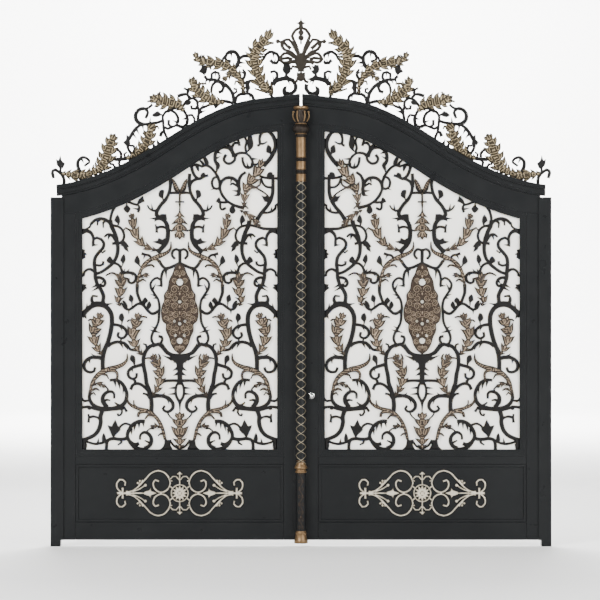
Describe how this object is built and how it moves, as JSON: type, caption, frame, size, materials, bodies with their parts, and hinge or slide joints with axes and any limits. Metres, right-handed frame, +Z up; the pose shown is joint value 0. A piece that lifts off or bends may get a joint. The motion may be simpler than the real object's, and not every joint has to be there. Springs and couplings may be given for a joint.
{
  "type": "ornamental double driveway gate",
  "caption": "Double-leaf ornamental iron driveway gate between square posts, with scrollwork lights, a sweeping cornice, a leafy crest and a meeting column.",
  "frame": {"origin": "centre of the left post's foot, on the ground, as seen from the street", "axes": "+X along the closed gate to the right post, -Y towards the street, +Z up"},
  "size_m": [3.603, 0.2, 3.8064],
  "materials": {
    "black_iron": "satin powder coat",
    "antique_bronze": "antique patina",
    "pale_gold": "pale champagne gold",
    "frosted_glass": "frosted",
    "polished_steel": "polished"
  },
  "bodies": {
    "posts": {"left_post": "black_iron", "right_post": "black_iron", "left_post_hinges": "black_iron", "right_post_hinges": "black_iron"},
    "left_leaf": {"left_hinge_stile": "black_iron", "left_meeting_stile": "black_iron", "left_top_rail": "black_iron", "left_cornice": "black_iron", "left_lock_rail": "black_iron", "left_bottom_rail": "black_iron", "left_light_bead": "black_iron", "left_frosted_glass": "frosted_glass", "left_lower_panel": "black_iron", "left_panel_moulding": "black_iron", "left_panel_ornament": "pale_gold", "left_grille_scrolls": "black_iron", "left_grille_leaves": "antique_bronze", "left_medallion": "antique_bronze", "left_crest_scrolls": "black_iron", "left_crest_leaves": "antique_bronze", "left_leaf_hinges": "black_iron", "column_capital": "black_iron", "column_shaft": "black_iron", "column_sleeves": "antique_bronze", "column_carved_shaft": "black_iron", "column_base": "antique_bronze", "palmette": "antique_bronze"},
    "right_leaf": {"right_hinge_stile": "black_iron", "right_meeting_stile": "black_iron", "right_top_rail": "black_iron", "right_cornice": "black_iron", "right_lock_rail": "black_iron", "right_bottom_rail": "black_iron", "right_light_bead": "black_iron", "right_frosted_glass": "frosted_glass", "right_lower_panel": "black_iron", "right_panel_moulding": "black_iron", "right_panel_ornament": "pale_gold", "right_grille_scrolls": "black_iron", "right_grille_leaves": "antique_bronze", "right_medallion": "antique_bronze", "right_crest_scrolls": "black_iron", "right_crest_leaves": "antique_bronze", "right_leaf_hinges": "black_iron", "right_lock_knob": "polished_steel"}
  },
  "joints": [
    {"name": "right_leaf_hinge", "type": "hinge", "parent": "posts", "child": "right_leaf", "pos_m": [3.489, 0.056, 0], "axis": [0, 0, -1], "range_deg": [0, 90]},
    {"name": "left_leaf_hinge", "type": "hinge", "parent": "posts", "child": "left_leaf", "pos_m": [0.039, 0.056, 0], "axis": [0, 0, 1], "range_deg": [0, 83]}
  ],
  "couplings": [
    {"joint": "left_leaf_hinge", "follows": "right_leaf_hinge", "ratio": 0.92}
  ]
}
